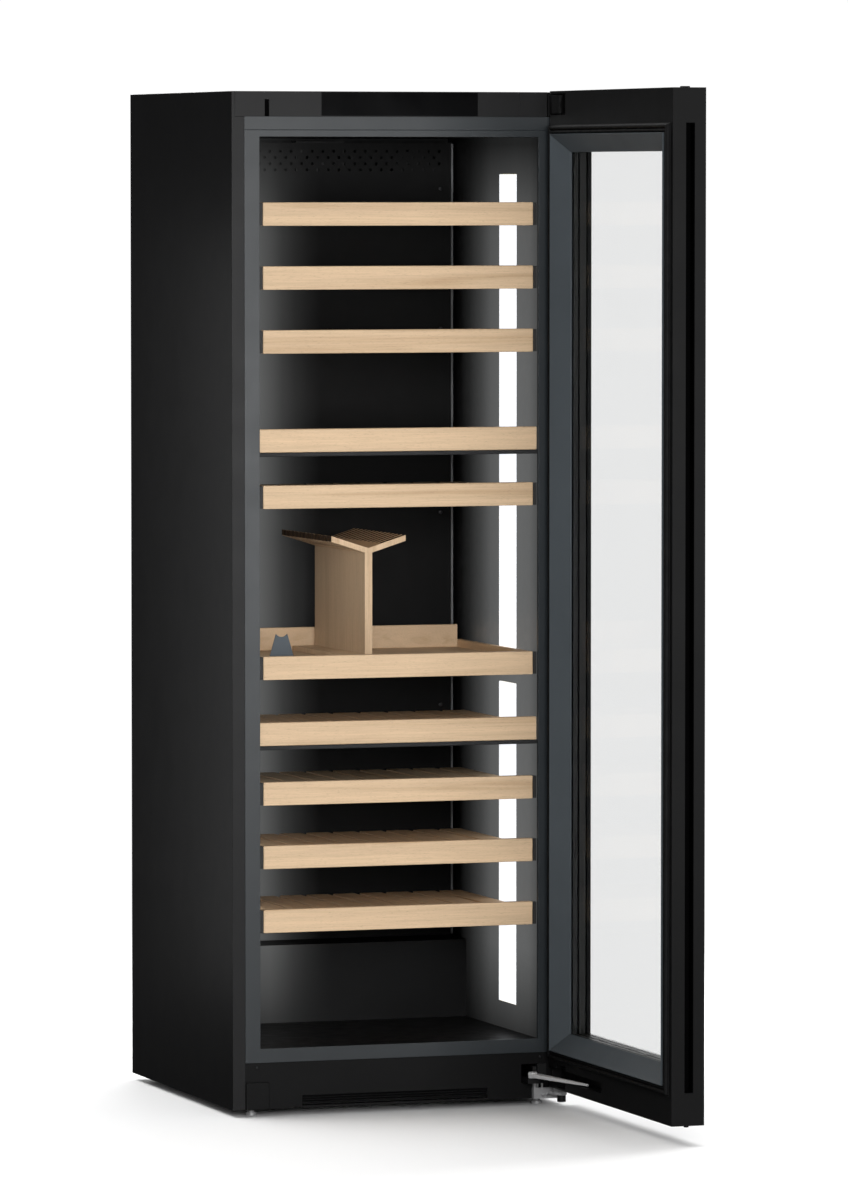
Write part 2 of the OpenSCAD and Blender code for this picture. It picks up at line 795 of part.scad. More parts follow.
module door_frame() {
    color(black_paint) on_door() difference() {
        block([-door_hw, door_out_y, door_z0], [door_hw, door_in_y, door_z1]);
        block([-view_hw, door_out_y - 1, view_z[0]], [view_hw, door_in_y + 1, view_z[1]]);
        block([-pane_hw, pane_y[2], pane_z[0]], [pane_hw, door_in_y + 1, pane_z[1]]);
        block([-door_hw + bevel_inset, glass_y, bevel_z[0]],
            [door_hw - bevel_inset, door_in_y + 1, bevel_z[1]]);
        block([-door_hw - 1, grip_y[0], grip_z[0]], [-door_hw + grip_depth, grip_y[1], grip_z[1]]);
        // Upper hinge pocket and its bush
        block([hinge_x - 78, hinge_y - pocket_reach, notch_z[0]], [door_hw + 1, door_in_y + 1, notch_z[1]]);
        rod_z(notch_z[0] - 16, notch_z[0] + 1, hinge_x, hinge_y, pin_r + run_clear);
        // Lower bush, slot for the closer arm and pocket for its housing
        rod_z(door_z0 - 1, slot_z[0] + 1, hinge_x, hinge_y, low_pin_r + run_clear);
        block([45, door_in_y - slot_reach, slot_z[0]], [door_hw + 1, door_in_y + 1, slot_z[1]]);
        block([252, door_in_y - slot_reach, 42], [304, door_in_y + 1, 88]);
    }
}

module pane(y) {
    block([-pane_hw + 0.5, y, pane_z[0] + 0.5], [pane_hw - 0.5, y + pane_t, pane_z[1] - 0.5]);
}

module door_glass() {
    color([0.8, 0.9, 0.95, 0.3]) on_door() for (y = pane_y) pane(y);
}

module glass_spacers() {
    color(dark) on_door() for (i = [0, 1])
        ring(pane_hw - 0.5, [pane_z[0] + 0.5, pane_z[1] - 0.5], view_hw, view_z,
            pane_y[i + 1] + pane_t, pane_y[i]);
}

module door_bezel() {
    outer = door_hw - bevel_inset;
    color(grey_frame) on_door() difference() {
        block([-outer + 0.2, glass_y, bevel_z[0] + 0.2], [outer - 0.2, bezel_top_y, bevel_z[1] - 0.2]);
        hull() {
            block([-outer + 1, bezel_top_y, bevel_z[0] + 1], [outer - 1, bezel_top_y + 1, bevel_z[1] - 1]);
            block([-view_hw, glass_y + 3, view_z[0]], [view_hw, glass_y + 3.1, view_z[1]]);
        }
        block([-view_hw, glass_y - 1, view_z[0]], [view_hw, glass_y + 3.1, view_z[1]]);
    }
}

gasket_w = 18;

module door_gasket() {
    inner = door_hw - bevel_inset + 0.3;
    color(dark) on_door()
        ring(inner + gasket_w, [bevel_z[0] - gasket_w, bevel_z[1] + gasket_w],
            inner, [bevel_z[0] - 0.3, bevel_z[1] + 0.3], door_in_y, -2);
}

// Channel that lines the finger groove, with its plugs at both ends of the door
module door_grip() {
    plug_y = -41;
    color(dark) on_door() {
        difference() {
            block([-door_hw + 0.2, grip_y[0], grip_z[0]], [-door_hw + grip_depth, grip_y[1], grip_z[1]]);
            block([-door_hw - 1, grip_y[0] + grip_t, grip_z[0] + grip_t],
                [-door_hw + grip_depth - grip_t, grip_y[1] - grip_t, grip_z[1] - grip_t]);
        }
        rod_z(door_z1, door_z1 + 2.4, -door_hw + 12, plug_y, 9.5);
        rod_z(door_z0 - 3.5, door_z0, -door_hw + 12, plug_y - 6, 5);
    }
}

// ---- Nodes ---------------------------------------------------------------

module shelf_1() { wooden_shelf(shelf_hw, 1); }
module shelf_2() { wooden_shelf(shelf_hw, 2); }
module shelf_3() { wooden_shelf(shelf_hw, 3); }
module shelf_4() { wooden_shelf(wide_hw, 4); }
module shelf_5() { wooden_shelf(shelf_hw, 5); }
module shelf_6() { tray_shelf(shelf_hw, 6); }
module shelf_7() { wooden_shelf(wide_hw, 7); }
module shelf_8() { wooden_shelf(shelf_hw, 8); }
module shelf_9() { wooden_shelf(shelf_hw, 9); }
module shelf_10() { wooden_shelf(shelf_hw, 10); }
module runners_1() { runners(1); }
module runners_2() { runners(2); }
module runners_3() { runners(3); }
module runners_5() { runners(5); }
module runners_6() { runners(6); }
module runners_8() { runners(8); }
module runners_9() { runners(9); }
module runners_10() { runners(10); }

left_side_panel();
right_side_panel();
top_panel();
rear_panel();
rear_cover();
base_tray();
insulation_foam();
inner_liner();
front_frame();
top_fascia();
display_glass();
control_board();
plinth_panel();
vent_grille();
corner_cover();
duct_cover();
charcoal_filter();
evaporator();
fan_housings();
fan_rotor_upper();
fan_rotor_lower();
compressor();
condenser();
mains_inlet();
led_strips();
dividers();
fixed_rails();
shelf_1();
shelf_2();
shelf_3();
shelf_4();
shelf_5();
shelf_6();
shelf_7();
shelf_8();
shelf_9();
shelf_10();
runners_1();
runners_2();
runners_3();
runners_5();
runners_6();
runners_8();
runners_9();
runners_10();
glass_rack();
bottle_cradle();
upper_hinge();
lower_hinge();
closer_housing();
closer_arm();
foot_left();
foot_right();
rear_wheels();
door_frame();
door_glass();
glass_spacers();
door_bezel();
door_gasket();
door_grip();
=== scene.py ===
import json
import math

import bmesh
import bpy
from mathutils import Matrix, Vector


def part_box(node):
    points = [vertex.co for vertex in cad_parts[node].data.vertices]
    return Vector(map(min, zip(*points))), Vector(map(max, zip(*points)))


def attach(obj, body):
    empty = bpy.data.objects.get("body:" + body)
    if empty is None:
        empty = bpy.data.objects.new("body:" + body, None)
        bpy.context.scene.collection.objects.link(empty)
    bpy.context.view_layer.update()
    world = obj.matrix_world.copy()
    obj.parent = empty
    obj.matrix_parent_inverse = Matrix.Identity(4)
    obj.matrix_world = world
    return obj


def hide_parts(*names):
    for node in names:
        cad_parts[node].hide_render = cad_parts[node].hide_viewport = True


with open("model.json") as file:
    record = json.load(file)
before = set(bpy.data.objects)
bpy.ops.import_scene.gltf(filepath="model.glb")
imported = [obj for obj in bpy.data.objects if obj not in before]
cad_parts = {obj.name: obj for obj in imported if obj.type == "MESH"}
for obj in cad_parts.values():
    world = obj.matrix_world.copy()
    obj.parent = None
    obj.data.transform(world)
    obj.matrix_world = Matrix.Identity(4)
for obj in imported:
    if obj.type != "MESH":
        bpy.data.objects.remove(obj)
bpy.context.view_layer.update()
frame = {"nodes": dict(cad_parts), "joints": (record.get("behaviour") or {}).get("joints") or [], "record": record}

RECORD = frame["record"]
BODY_OF = {n: b for b, nodes in RECORD["behaviour"]["bodies"].items() for n in nodes}
SLOT_OF = {s["node"]: s["material_slot"] for s in RECORD["subparts"]}
SHELVES = range(1, 11)
TRAY_SHELF = 6
SLIDING_SHELVES = (1, 2, 3, 5, 6, 8, 9, 10)

MM_PER_M = 1000
REST_ANGLE = math.radians(90)

# ---- Places ----------------------------------------------------------------

front_lo, front_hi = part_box("front_frame")
ORIGIN = Vector(((front_lo.x + front_hi.x) / 2, front_lo.y, 0))
door_joint = next(j for j in frame["joints"] if j["name"] == "door_hinge")
HINGE = Vector((door_joint["pos_m"][0], door_joint["pos_m"][1], 0))
DOOR_OPEN = (Matrix.Translation(HINGE) @ Matrix.Rotation(REST_ANGLE, 4, "Z")
             @ Matrix.Translation(-HINGE))


def at(x, y, z):
    """A point in the cabinet's own millimetres, as a point of the shared frame."""
    return ORIGIN + Vector((x, y, z)) / MM_PER_M


def on_door(x, y, z):
    """A point on the closed door, moved to where the open door has it."""
    return DOOR_OPEN @ at(x, y, z)


# ---- Materials -------------------------------------------------------------


class Shader:
    """A principled material and the node chains that the finishes share."""

    def __init__(self, rough, **values):
        self.mat = bpy.data.materials.new("finish")
        self.mat.use_nodes = True
        self.tree = self.mat.node_tree
        self.bsdf = self.tree.nodes["Principled BSDF"]
        self.set("Roughness", rough)
        for key, value in values.items():
            self.set(key.replace("_", " "), value)
        self.coords = self.tree.nodes.new("ShaderNodeTexCoord").outputs["Object"]

    def set(self, socket, value):
        if isinstance(value, tuple) and len(value) == 3:
            value = (*value, 1)
        self.bsdf.inputs[socket].default_value = value

    def link(self, out, socket):
        self.tree.links.new(out, self.bsdf.inputs[socket] if isinstance(socket, str) else socket)

    def add(self, kind, **values):
        node = self.tree.nodes.new(kind)
        for key, value in values.items():
            setattr(node, key, value)
        return node

    def stretched(self, scale):
        """Object coordinates with a scale of their own along each axis."""
        node = self.add("ShaderNodeMapping")
        node.inputs["Scale"].default_value = scale
        self.link(self.coords, node.inputs["Vector"])
        return node.outputs["Vector"]

    def noise(self, scale, detail, vector=None, rough=0.55, distortion=0.0):
        node = self.add("ShaderNodeTexNoise")
        node.inputs["Scale"].default_value = scale
        node.inputs["Detail"].default_value = detail
        node.inputs["Roughness"].default_value = rough
        node.inputs["Distortion"].default_value = distortion
        self.link(vector or self.coords, node.inputs["Vector"])
        return node.outputs["Fac"]

    def cells(self, scale):
        node = self.add("ShaderNodeTexVoronoi")
        node.inputs["Scale"].default_value = scale
        self.link(self.coords, node.inputs["Vector"])
        return node.outputs

    def ramp(self, fac, stops):
        node = self.add("ShaderNodeValToRGB")
        elements = node.color_ramp.elements
        while len(elements) < len(stops):
            elements.new(0.5)
        for element, (place, colour) in zip(elements, stops):
            element.position = place
            element.color = (*colour, 1) if isinstance(colour, tuple) else (colour, colour, colour, 1)
        self.link(fac, node.inputs["Fac"])
        return node.outputs["Color"]

    def mix(self, a, b, fac, mode="MULTIPLY"):
        """Two colours and a factor, each a number, a colour or another node's output."""
        node = self.add("ShaderNodeMix", data_type="RGBA", blend_type=mode)
        for out, key in ((a, 6), (b, 7), (fac, 0)):
            if isinstance(out, (float, int)):
                node.inputs[key].default_value = out
            elif isinstance(out, tuple):
                node.inputs[key].default_value = (*out, 1)
            else:
                self.link(out, node.inputs[key])
        return node.outputs[2]

    def bump(self, height, distance, strength):
        node = self.add("ShaderNodeBump")
        node.inputs["Strength"].default_value = strength
        node.inputs["Distance"].default_value = distance
        self.link(height, node.inputs["Height"])
        self.link(node.outputs["Normal"], "Normal")


def tint(colour, factor):
    return tuple(min(1.0, c * factor) for c in colour)


def painted(colour, rough, grain=900, spec=0.3, depth=0.00004):
    """Textured paint: a fine orange peel, slightly uneven gloss and tone."""
    s = Shader(rough, Specular_IOR_Level=spec)
    s.link(s.ramp(s.noise(4.5, 4), [(0.3, tint(colour, 0.92)), (0.7, tint(colour, 1.08))]), "Base Color")
    s.link(s.ramp(s.noise(14, 4), [(0.3, rough - 0.02), (0.7, rough + 0.03)]), "Roughness")
    s.bump(s.noise(grain, 2), depth, 0.35)
    return s


def moulded(colour, rough, grain=1500, spec=0.35):
    """Moulded plastic with a fine erosion grain."""
    s = Shader(rough, Specular_IOR_Level=spec)
    s.link(s.ramp(s.noise(9, 3), [(0.3, tint(colour, 0.88)), (0.7, tint(colour, 1.12))]), "Base Color")
    s.link(s.ramp(s.noise(35, 4), [(0.35, rough - 0.04), (0.7, rough + 0.05)]), "Roughness")
    s.bump(s.cells(grain)["Distance"], 0.00005, 0.35)
    return s


def brushed(colour, rough, along, metal=1.0):
    """Satin metal, brushed along one axis."""
    s = Shader(rough, Metallic=metal)
    scale = {"x": (4, 900, 900), "y": (900, 4, 900), "z": (900, 900, 4)}[along]
    lines = s.noise(1, 4, s.stretched(scale), 0.6)
    s.link(s.ramp(lines, [(0.3, tint(colour, 0.88)), (0.72, tint(colour, 1.12))]), "Base Color")
    s.link(s.ramp(lines, [(0.3, rough - 0.07), (0.7, rough + 0.1)]), "Roughness")
    s.bump(lines, 0.00003, 0.3)
    return s


def beech(along):
    """Pale beech: long soft figure, fine straight grain and short dark flecks."""
    pale, deep = (0.66, 0.475, 0.30), (0.49, 0.325, 0.185)
    s = Shader(0.52, Specular_IOR_Level=0.35)
    wide = {"x": (0.55, 7, 22), "y": (7, 0.55, 22), "z": (22, 7, 0.55)}[along]
    fine = {"x": (9, 420, 420), "y": (420, 9, 420), "z": (420, 420, 9)}[along]
    fleck = {"x": (110, 1500, 1500), "y": (1500, 110, 1500), "z": (1500, 1500, 110)}[along]
    figure = s.noise(1, 5, s.stretched(wide), 0.6, 1.4)
    tone = s.ramp(figure, [(0.28, deep), (0.46, tint(pale, 0.93)), (0.58, pale), (0.8, tint(pale, 1.1))])
    lines = s.noise(1, 4, s.stretched(fine), 0.65)
    tone = s.mix(tone, s.ramp(lines, [(0.3, 0.78), (0.6, 1.0)]), 0.55)
    flecks = s.ramp(s.noise(1, 1, s.stretched(fleck)), [(0.29, 0.62), (0.36, 1.0)])
    s.link(s.mix(tone, flecks, 0.6), "Base Color")
    s.link(s.ramp(lines, [(0.3, 0.6), (0.7, 0.44)]), "Roughness")
    s.bump(lines, 0.00012, 0.35)
    return s


def galvanised():
    """Zinc-coated sheet with its crystal pattern."""
    s = Shader(0.38, Metallic=0.9)
    grey = s.add("ShaderNodeRGBToBW")
    s.link(s.cells(85)["Color"], grey.inputs["Color"])
    s.link(s.ramp(grey.outputs["Val"], [(0.2, (0.38, 0.39, 0.41)), (0.8, (0.62, 0.63, 0.64))]), "Base Color")
    s.link(s.ramp(grey.outputs["Val"], [(0.2, 0.46), (0.8, 0.28)]), "Roughness")
    s.bump(s.noise(240, 3), 0.00008, 0.3)
    return s


def light_cover():
    """Opal lens over the light column: bright, with fine prisms across it."""
    s = Shader(0.35, Base_Color=(0.92, 0.94, 0.97), Emission_Strength=1.0)
    wave = s.add("ShaderNodeTexWave", bands_direction="Z")
    wave.inputs["Scale"].default_value = 60
    s.link(s.coords, wave.inputs["Vector"])
    s.link(s.ramp(wave.outputs["Fac"], [(0.0, (0.86, 0.92, 1.0)), (1.0, (1.0, 1.0, 1.0))]), "Emission Color")
    s.bump(wave.outputs["Fac"], 0.0004, 0.4)
    return s


def glass():
    """Clear low-reflection insulating glass with a faint grey cast."""
    s = Shader(0.0, Transmission_Weight=1.0, IOR=1.035)
    cast = [(0.3, (0.934, 0.936, 0.936)), (0.7, (0.939, 0.941, 0.941))]
    s.link(s.ramp(s.noise(1.5, 2), cast), "Base Color")
    s.link(s.ramp(s.noise(8, 3), [(0.4, 0.0), (0.8, 0.008)]), "Roughness")
    return s


def rubber(colour):
    """Matt black rubber, mottled in tone and gloss."""
    s = Shader(0.62, Specular_IOR_Level=0.12)
    s.link(s.ramp(s.noise(30, 4), [(0.3, tint(colour, 0.75)), (0.7, tint(colour, 1.3))]), "Base Color")
    s.link(s.ramp(s.noise(90, 3), [(0.35, 0.56), (0.7, 0.7)]), "Roughness")
    s.bump(s.noise(1800, 2), 0.00005, 0.35)
    return s


def painted_glow_plastic(colour, rough, *painted_glows):
    """Dark plastic beside the light columns, with painted glow: emission, laid out by place, that stands in for
    their light. Each glow is the axis that the glowing faces look along, a colour, and for each axis of place a
    row of (metres, brightness)."""
    faces_along = 0.7
    s = moulded(colour, rough, spec=0.12)
    place_at = s.add("ShaderNodeSeparateXYZ")
    s.link(s.coords, place_at.inputs[0])
    facing_at = s.add("ShaderNodeSeparateXYZ")
    s.link(s.add("ShaderNodeNewGeometry").outputs["True Normal"], facing_at.inputs[0])
    total = None
    for facing, light, spreads in painted_glows:
        across = s.add("ShaderNodeMath", operation="ABSOLUTE")
        s.link(facing_at.outputs[facing], across.inputs[0])
        mask = s.add("ShaderNodeMath", operation="GREATER_THAN")
        mask.inputs[1].default_value = faces_along
        s.link(across.outputs[0], mask.inputs[0])
        result = s.mix(mask.outputs[0], light, 1.0)
        for axis, stops in spreads.items():
            start, reach = stops[0][0], stops[-1][0] - stops[0][0]
            span = s.add("ShaderNodeMapRange")
            span.inputs["From Min"].default_value = start
            span.inputs["From Max"].default_value = start + reach
            s.link(place_at.outputs[axis], span.inputs["Value"])
            shares = [((metres - start) / reach, value) for metres, value in stops]
            level = s.ramp(span.outputs["Result"], shares)
            result = s.mix(level, result, 1.0)
        total = result if total is None else s.mix(total, result, 1.0, "ADD")
    s.link(total, "Emission Color")
    s.set("Emission Strength", 1.0)
    return s


# Painted glow of the light columns on the liner and duct cover, brightest beside them and fading with distance
led_low, led_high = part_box("led_strips")
led_mid_x = (led_low.x + led_high.x) / 2
painted_glow_height = (
    (led_low.z - 0.06, 0.2), (led_low.z + 0.12, 0.95), (led_low.z + 0.5, 1.0),
    (led_high.z - 0.4, 1.0), (led_high.z - 0.12, 0.85), (led_high.z + 0.06, 0.12))
painted_glow_depth = (
    (led_low.y - 0.13, 0.55), (led_low.y - 0.08, 0.9), (led_low.y, 1.0), (led_high.y, 0.85),
    (led_high.y + 0.05, 0.74), (led_high.y + 0.11, 0.38), (led_high.y + 0.18, 0.12), (led_high.y + 0.24, 0.0))
painted_glow_across = tuple((led_mid_x + off_centre, level) for off_centre, level in (
    (-0.3, 0.7), (-0.2, 1.0), (-0.135, 0.95), (-0.109, 0.65), (-0.082, 0.32), (-0.055, 0.15),
    (-0.028, 0.055), (0.0, 0.0)))
# Painted glow on the side walls beside the columns, and on the back wall towards the left
wall_painted_glow = ("X", (0.128, 0.131, 0.131), {"Y": painted_glow_depth, "Z": painted_glow_height})
back_painted_glow = ("Y", (0.106, 0.108, 0.107), {"X": painted_glow_across, "Z": painted_glow_height})

FINISHES = {
    "black_steel": painted((0.0045, 0.0045, 0.0048), 0.3, spec=0.12, depth=0.00001),
    "fascia_black": painted((0.0115, 0.0115, 0.0120), 0.36, spec=0.2),
    "door_black": painted((0.0056, 0.0056, 0.0058), 0.4, spec=0.12),
    "hinge_black": painted((0.0050, 0.0050, 0.0052), 0.5, spec=0.1),
    "black_enamel": painted((0.008, 0.008, 0.009), 0.3, spec=0.4),
    "grey_frame": painted((0.020, 0.0245, 0.028), 0.34, grain=1400, spec=0.5),
    "bezel_grey": painted((0.058, 0.068, 0.076), 0.42, grain=1400, spec=0.12),
    "cradle_grey": painted((0.060, 0.074, 0.088), 0.4, spec=0.3),
    "display": painted((0.0020, 0.0020, 0.0023), 0.12, grain=200, spec=0.05, depth=0.00001),
    "liner": moulded((0.020, 0.0203, 0.0212), 0.42, spec=0.15),
    # The inner liner: a darker copy of the liner plastic for painted shade inside the cabinet, with painted glow
    "liner_painted_glow_and_shade": painted_glow_plastic((0.0075, 0.0076, 0.0079), 0.42, wall_painted_glow, back_painted_glow),
    # The duct cover: black plastic with painted glow towards the left
    "duct": painted_glow_plastic((0.0028, 0.0028, 0.0029), 0.5, back_painted_glow),
    "black_plastic": moulded((0.0058, 0.0058, 0.0062), 0.48, spec=0.3),
    # Near-black matt finish for the grip groove and the fascia slot: painted shade in these recesses
    "groove": moulded((0.0012, 0.0012, 0.0013), 0.8, spec=0.02),
    # Dark beech on the walls of the rack's slots: painted shade in the slots
    "beech_painted_shade": moulded((0.030, 0.018, 0.010), 0.7, grain=500, spec=0.1),
    "circuit": moulded((0.012, 0.10, 0.045), 0.35),
    "foam": moulded((0.72, 0.62, 0.34), 0.85, grain=400),
    "runner": moulded((0.020, 0.019, 0.018), 0.5),
    "wheel": moulded((0.055, 0.055, 0.057), 0.45),
    "spacer": moulded((0.010, 0.0105, 0.0095), 0.4),
    "trim": moulded((0.15, 0.155, 0.16), 0.4),
    "zinc_steel": galvanised(),
    "rail": brushed((0.13, 0.135, 0.14), 0.4, "y"),
    "arm_steel": brushed((0.72, 0.72, 0.725), 0.38, "y", metal=0.35),
    "bracket_steel": brushed((0.44, 0.44, 0.445), 0.38, "x", metal=0.55),
    "aluminium": brushed((0.72, 0.73, 0.74), 0.32, "z"),
    "copper": brushed((0.62, 0.26, 0.13), 0.3, "x"),
    "screw": brushed((0.55, 0.55, 0.56), 0.32, "y"),
    "dark_screw": brushed((0.05, 0.05, 0.052), 0.35, "y"),
    "filter": rubber((0.014, 0.014, 0.015)),
    "gasket": rubber((0.0045, 0.0045, 0.0048)),
    "led": light_cover(),
    "clear_glass": glass(),
    "beech_x": beech("x"),
    "beech_y": beech("y"),
    "beech_z": beech("z"),
}
MATERIALS = {}
for finish_name, finish in FINISHES.items():
    finish.mat.name = finish_name
    MATERIALS[finish_name] = finish.mat

# ---- Pieces ----------------------------------------------------------------

SHARP_ANGLE = math.radians(28)
FLAT_ANGLE = math.radians(1)
WELD_M = 2e-6


def place(name, mesh, body, slot, material):
    obj = bpy.data.objects.new(name, mesh)
    bpy.context.scene.collection.objects.link(obj)
    mesh.materials.append(MATERIALS[material])
    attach(obj, body)
    return obj


def soften(obj, width, segments=2):
    """Round edges that catch the light, and smooth shading between them."""
    for face in obj.data.polygons:
        face.use_smooth = True
    bevel = obj.modifiers.new("edges", "BEVEL")
    bevel.width = width / MM_PER_M
    bevel.segments = segments
    bevel.limit_method = "ANGLE"
    bevel.angle_limit = SHARP_ANGLE
    bevel.use_clamp_overlap = True
    bevel.harden_normals = True


def clean(mesh):
    """Joins doubled points, merges flat neighbours, and marks the edges that stay sharp."""
    bm = bmesh.new()
    bm.from_mesh(mesh)
    bmesh.ops.remove_doubles(bm, verts=bm.verts, dist=WELD_M)
    bmesh.ops.dissolve_limit(bm, angle_limit=FLAT_ANGLE, verts=bm.verts, edges=bm.edges)
    for edge in bm.edges:
        edge.smooth = not (edge.is_manifold and edge.calc_face_angle(0) > SHARP_ANGLE)
    bm.to_mesh(mesh)
    bm.free()


def skin(node, width, material):
    """A copy of a CAD node with its edges rounded, which stands for it."""
    mesh = frame["nodes"][node].data.copy()
    mesh.materials.clear()
    mesh.name = node + "_skin"
    clean(mesh)
    obj = place(node + "_skin", mesh, BODY_OF[node], SLOT_OF[node], material)
    soften(obj, width)
    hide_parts(node)
    return obj


def finish_node(node, material):
    """A CAD node that stays as it is, with its material."""
    obj = frame["nodes"][node]
    obj.data.materials.clear()
    obj.data.materials.append(MATERIALS[material])


def build(name, parts, body, slot, material, bevel=0.0, segments=2, where=at):
    """One mesh from several part functions, each of which adds to the same bmesh."""
    bm = bmesh.new()
    for part in parts:
        part(bm, where)
    bmesh.ops.recalc_face_normals(bm, faces=bm.faces)
    mesh = bpy.data.meshes.new(name)
    bm.to_mesh(mesh)
    bm.free()
    obj = place(name, mesh, body, slot, material)
    if bevel:
        soften(obj, bevel, segments)
    return obj


def bar(low, high):
    """A closed bar between two corners, in millimetres."""
    def add(bm, where):
        (x0, y0, z0), (x1, y1, z1) = low, high
        v = [bm.verts.new(where(x, y, z))
             for z in (z0, z1) for x, y in ((x0, y0), (x1, y0), (x1, y1), (x0, y1))]
        for loop in ((3, 2, 1, 0), (4, 5, 6, 7), (0, 1, 5, 4), (1, 2, 6, 5), (2, 3, 7, 6), (3, 0, 4, 7)):
            bm.faces.new([v[i] for i in loop])
    return add


def close_rings(bm, rings):
    """Faces between neighbouring rings of points, and over both ends."""
    bm.faces.new(rings[0][::-1])
    bm.faces.new(rings[-1])
    sides = len(rings[0])
    for a, b in zip(rings, rings[1:]):
        for k in range(sides):
            bm.faces.new((a[k], a[(k + 1) % sides], b[(k + 1) % sides], b[k]))


def turned(axis, centre, profile, sides=32):
    """A turned piece: (distance along the axis, radius) pairs, closed at both ends."""
    def add(bm, where):
        rings = []
        for along, radius in profile:
            ring = []
            for k in range(sides):
                a = 2 * math.pi * k / sides
                u, v = radius * math.cos(a), radius * math.sin(a)
                offset = {"x": (along, u, v), "y": (u, along, v), "z": (u, v, along)}[axis]
                ring.append(bm.verts.new(where(*(c + o for c, o in zip(centre, offset)))))
            rings.append(ring)
        close_rings(bm, rings)
    return add


def screw(axis, centre, outward, radius=4.0, height=1.6):
    """A pan-head screw with a round recess; outward is 1 or -1 along the axis."""
    sides, recess_depth = 24, 0.9
    profile = [(0, radius), (height * 0.5, radius), (height * 0.85, radius * 0.82),
               (height, radius * 0.5), (height, radius * 0.42),
               (height - recess_depth, radius * 0.3), (height - recess_depth, radius * 0.05)]
    return turned(axis, centre, [(outward * along, ring) for along, ring in profile], sides)


def tube(points, radius, sides):
    """A round tube along points, in millimetres."""
    def add(bm, where):
        path = [Vector(p) for p in points]
        rings = []
        side = None
        for i, p in enumerate(path):
            ahead = (path[min(i + 1, len(path) - 1)] - path[max(i - 1, 0)]).normalized()
            if side is None:
                side = ahead.orthogonal().normalized()
            side = (side - ahead * side.dot(ahead)).normalized()
            up = ahead.cross(side)
            rings.append([bm.verts.new(where(*(p + (side * math.cos(a) + up * math.sin(a)) * radius)))
                          for a in (2 * math.pi * k / sides for k in range(sides))])
        close_rings(bm, rings)
    return add


def ring_sweep(half, low, high, profile):
    """A profile of (inset, y) points swept round an upright rectangle, mitred at its corners."""
    def add(bm, where):
        loops = [[bm.verts.new(where(x, y, z)) for x, z in
                  ((inset - half, low + inset), (half - inset, low + inset),
                   (half - inset, high - inset), (inset - half, high - inset))] for inset, y in profile]
        for a, b in zip(loops, loops[1:] + loops[:1]):
            for k in range(4):
                bm.faces.new((a[k], a[(k + 1) % 4], b[(k + 1) % 4], b[k]))
    return add


# ---- CAD nodes: edge width in millimetres and finish -----------------------

skins = {}
for node, width, material in (
    ("left_side_panel", 0.7, "black_steel"), ("right_side_panel", 0.7, "black_steel"),
    ("top_panel", 0.6, "black_steel"), ("rear_panel", 0.5, "zinc_steel"),
    ("rear_cover", 0.6, "black_plastic"), ("base_tray", 0.8, "black_steel"),
    ("front_frame", 1.2, "grey_frame"), ("top_fascia", 0.5, "fascia_black"),
    ("display_glass", 0.5, "display"), ("plinth_panel", 1.0, "door_black"),
    ("vent_grille", 0.4, "black_plastic"), ("corner_cover", 1.6, "door_black"),
    # The duct cover's finish carries painted glow
    ("duct_cover", 0.5, "duct"), ("mains_inlet", 0.6, "black_plastic"),
    ("led_strips", 0.8, "led"), ("dividers", 1.2, "liner"), ("fixed_rails", 0.35, "rail"),
    ("bottle_cradle", 0.4, "cradle_grey"), ("glass_rack", 0.8, "beech_z"),
    ("upper_hinge", 0.8, "hinge_black"), ("lower_hinge", 0.8, "bracket_steel"),
    ("closer_housing", 0.8, "black_plastic"), ("closer_arm", 1.2, "arm_steel"),
    ("foot_left", 0.8, "bracket_steel"), ("foot_right", 0.8, "bracket_steel"),
    ("rear_wheels", 0.8, "wheel"), ("door_frame", 1.2, "door_black"),
    ("glass_spacers", 0.6, "spacer"), ("door_bezel", 1.0, "bezel_grey"),
    # The grip groove: painted shade in the recess
    ("door_grip", 0.6, "groove"), ("door_glass", 0.5, "clear_glass"),
    # The inner liner wears painted shade and painted glow
    ("inner_liner", 1.2, "liner_painted_glow_and_shade"),
):
    skins[node] = skin(node, width, material)
for i in SLIDING_SHELVES:
    skin(f"runners_{i}", 0.6, "runner")
for node, material in (
    ("insulation_foam", "foam"), ("control_board", "circuit"), ("charcoal_filter", "filter"),
    ("evaporator", "aluminium"), ("fan_housings", "black_plastic"), ("fan_rotor_upper", "black_plastic"),
    ("fan_rotor_lower", "black_plastic"), ("compressor", "black_enamel"), ("condenser", "black_enamel"),
):
    finish_node(node, material)

# ---- Shelves: front board, then a tray or slats on cross bars --------------

BOARD_T = 18
BEHIND_BOARD = BOARD_T + 0.1
SLAT_COUNT, SLAT_SPACE, SLAT_T, SLAT_DROP = 10, 10, 12, 15
CROSS_BAR_T, CROSS_BAR_W, CROSS_BAR_INSET = 11, 30, 0.2
TRAY_BOARD_H, TRAY_UNDER, TRAY_WALL = 46.6, 27, 12
TRAY_BACK_INSET = TRAY_WALL + 0.1


def tray(a, b, top):
    """Flat tray with low sides and a higher back."""
    front, under, floor_top = a.y + BEHIND_BOARD, top - TRAY_UNDER, top - SLAT_DROP
    return [bar((a.x, front, under), (b.x, b.y, floor_top)),
            bar((a.x, front, under), (a.x + TRAY_WALL, b.y, top)),
            bar((b.x - TRAY_WALL, front, under), (b.x, b.y, top)),
            bar((a.x + TRAY_BACK_INSET, b.y - TRAY_WALL, floor_top),
                (b.x - TRAY_BACK_INSET, b.y, b.z))]


def slats(a, b, top):
    pitch = (b.x - a.x + SLAT_SPACE) / SLAT_COUNT
    return [bar((a.x + k * pitch, a.y + BEHIND_BOARD, top - SLAT_T),
                (a.x + k * pitch + pitch - SLAT_SPACE, b.y, top)) for k in range(SLAT_COUNT)]


def cross_bars(a, b, top):
    return [bar((a.x + CROSS_BAR_INSET, y, top - CROSS_BAR_T), (b.x - CROSS_BAR_INSET, y + CROSS_BAR_W, top))
            for y in (a.y + BEHIND_BOARD, (a.y + b.y) / 2, b.y - CROSS_BAR_W)]


